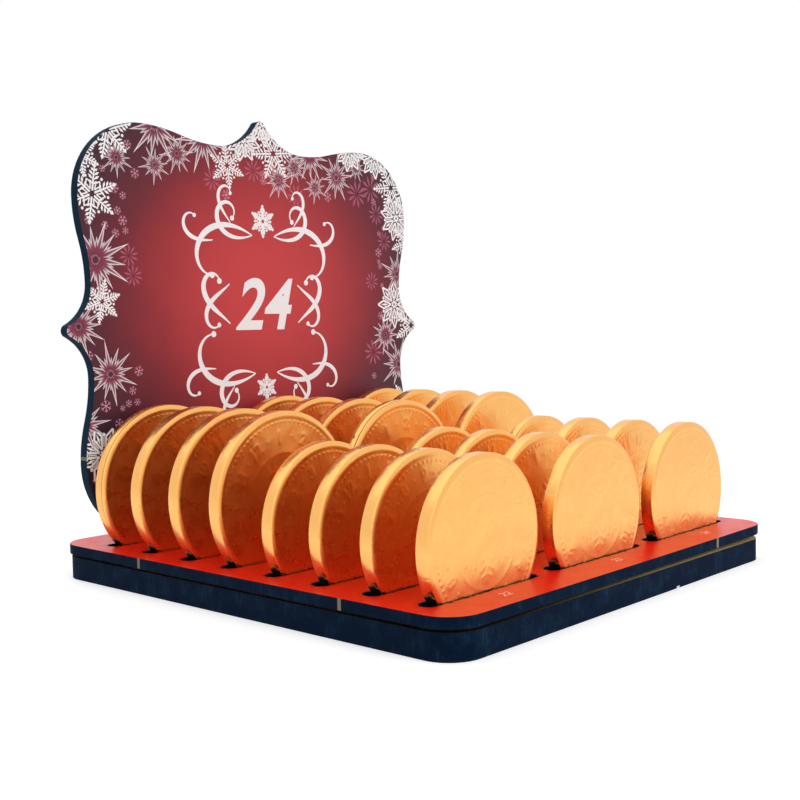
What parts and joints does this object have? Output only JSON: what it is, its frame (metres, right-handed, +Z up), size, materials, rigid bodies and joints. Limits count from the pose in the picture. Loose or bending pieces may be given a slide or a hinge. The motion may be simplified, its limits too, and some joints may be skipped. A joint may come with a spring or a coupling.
{
  "type": "chocolate coin advent calendar",
  "caption": "Countdown calendar: foil-wrapped chocolate coins stand on edge in rows of slots in a round-cornered printed base, with an ornate upright plaque behind.",
  "frame": {"origin": "middle of the base's underside", "axes": "+X to the right seen from the front, +Y from the front edge to the plaque, +Z up"},
  "size_m": [0.1412, 0.142, 0.1312],
  "materials": {
    "printed_mdf": "satin printed face, dark charred edges",
    "lower_board_mdf": "bare board with dark charred edges",
    "adhesive": "matt",
    "gold_foil": "wrinkled gold-coloured foil",
    "chocolate": "smooth chocolate"
  },
  "bodies": {
    "base": {"lower_board": "lower_board_mdf", "slotted_top_board": "printed_mdf", "bonding_strips": "adhesive"},
    "plaque": {"back_plaque": "printed_mdf"},
    "coin_01": {"coin_01_foil": "gold_foil", "coin_01_chocolate": "chocolate"},
    "coin_02": {"coin_02_foil": "gold_foil", "coin_02_chocolate": "chocolate"},
    "coin_03": {"coin_03_foil": "gold_foil", "coin_03_chocolate": "chocolate"},
    "coin_04": {"coin_04_foil": "gold_foil", "coin_04_chocolate": "chocolate"},
    "coin_05": {"coin_05_foil": "gold_foil", "coin_05_chocolate": "chocolate"},
    "coin_06": {"coin_06_foil": "gold_foil", "coin_06_chocolate": "chocolate"},
    "coin_07": {"coin_07_foil": "gold_foil", "coin_07_chocolate": "chocolate"},
    "coin_08": {"coin_08_foil": "gold_foil", "coin_08_chocolate": "chocolate"},
    "coin_09": {"coin_09_foil": "gold_foil", "coin_09_chocolate": "chocolate"},
    "coin_10": {"coin_10_foil": "gold_foil", "coin_10_chocolate": "chocolate"},
    "coin_11": {"coin_11_foil": "gold_foil", "coin_11_chocolate": "chocolate"},
    "coin_12": {"coin_12_foil": "gold_foil", "coin_12_chocolate": "chocolate"},
    "coin_13": {"coin_13_foil": "gold_foil", "coin_13_chocolate": "chocolate"},
    "coin_14": {"coin_14_foil": "gold_foil", "coin_14_chocolate": "chocolate"},
    "coin_15": {"coin_15_foil": "gold_foil", "coin_15_chocolate": "chocolate"},
    "coin_16": {"coin_16_foil": "gold_foil", "coin_16_chocolate": "chocolate"},
    "coin_17": {"coin_17_foil": "gold_foil", "coin_17_chocolate": "chocolate"},
    "coin_18": {"coin_18_foil": "gold_foil", "coin_18_chocolate": "chocolate"},
    "coin_19": {"coin_19_foil": "gold_foil", "coin_19_chocolate": "chocolate"},
    "coin_20": {"coin_20_foil": "gold_foil", "coin_20_chocolate": "chocolate"},
    "coin_21": {"coin_21_foil": "gold_foil", "coin_21_chocolate": "chocolate"},
    "coin_22": {"coin_22_foil": "gold_foil", "coin_22_chocolate": "chocolate"},
    "coin_23": {"coin_23_foil": "gold_foil", "coin_23_chocolate": "chocolate"},
    "coin_24": {"coin_24_foil": "gold_foil", "coin_24_chocolate": "chocolate"}
  },
  "joints": [
    {"name": "plaque_lift", "type": "slide", "parent": "base", "child": "plaque", "axis": [0, 0, 1], "range_m": [0, 0.02]},
    {"name": "coin_01_lift", "type": "slide", "parent": "base", "child": "coin_01", "axis": [0, 0, 1], "range_m": [0, 0.05]},
    {"name": "coin_02_lift", "type": "slide", "parent": "base", "child": "coin_02", "axis": [0, 0, 1], "range_m": [0, 0.05]},
    {"name": "coin_03_lift", "type": "slide", "parent": "base", "child": "coin_03", "axis": [0, 0, 1], "range_m": [0, 0.05]},
    {"name": "coin_04_lift", "type": "slide", "parent": "base", "child": "coin_04", "axis": [0, 0, 1], "range_m": [0, 0.05]},
    {"name": "coin_05_lift", "type": "slide", "parent": "base", "child": "coin_05", "axis": [0, 0, 1], "range_m": [0, 0.05]},
    {"name": "coin_06_lift", "type": "slide", "parent": "base", "child": "coin_06", "axis": [0, 0, 1], "range_m": [0, 0.05]},
    {"name": "coin_07_lift", "type": "slide", "parent": "base", "child": "coin_07", "axis": [0, 0, 1], "range_m": [0, 0.05]},
    {"name": "coin_08_lift", "type": "slide", "parent": "base", "child": "coin_08", "axis": [0, 0, 1], "range_m": [0, 0.05]},
    {"name": "coin_09_lift", "type": "slide", "parent": "base", "child": "coin_09", "axis": [0, 0, 1], "range_m": [0, 0.05]},
    {"name": "coin_10_lift", "type": "slide", "parent": "base", "child": "coin_10", "axis": [0, 0, 1], "range_m": [0, 0.05]},
    {"name": "coin_11_lift", "type": "slide", "parent": "base", "child": "coin_11", "axis": [0, 0, 1], "range_m": [0, 0.05]},
    {"name": "coin_12_lift", "type": "slide", "parent": "base", "child": "coin_12", "axis": [0, 0, 1], "range_m": [0, 0.05]},
    {"name": "coin_13_lift", "type": "slide", "parent": "base", "child": "coin_13", "axis": [0, 0, 1], "range_m": [0, 0.05]},
    {"name": "coin_14_lift", "type": "slide", "parent": "base", "child": "coin_14", "axis": [0, 0, 1], "range_m": [0, 0.05]},
    {"name": "coin_15_lift", "type": "slide", "parent": "base", "child": "coin_15", "axis": [0, 0, 1], "range_m": [0, 0.05]},
    {"name": "coin_16_lift", "type": "slide", "parent": "base", "child": "coin_16", "axis": [0, 0, 1], "range_m": [0, 0.05]},
    {"name": "coin_17_lift", "type": "slide", "parent": "base", "child": "coin_17", "axis": [0, 0, 1], "range_m": [0, 0.05]},
    {"name": "coin_18_lift", "type": "slide", "parent": "base", "child": "coin_18", "axis": [0, 0, 1], "range_m": [0, 0.05]},
    {"name": "coin_19_lift", "type": "slide", "parent": "base", "child": "coin_19", "axis": [0, 0, 1], "range_m": [0, 0.05]},
    {"name": "coin_20_lift", "type": "slide", "parent": "base", "child": "coin_20", "axis": [0, 0, 1], "range_m": [0, 0.05]},
    {"name": "coin_21_lift", "type": "slide", "parent": "base", "child": "coin_21", "axis": [0, 0, 1], "range_m": [0, 0.05]},
    {"name": "coin_22_lift", "type": "slide", "parent": "base", "child": "coin_22", "axis": [0, 0, 1], "range_m": [0, 0.05]},
    {"name": "coin_23_lift", "type": "slide", "parent": "base", "child": "coin_23", "axis": [0, 0, 1], "range_m": [0, 0.05]},
    {"name": "coin_24_lift", "type": "slide", "parent": "base", "child": "coin_24", "axis": [0, 0, 1], "range_m": [0, 0.05]}
  ]
}
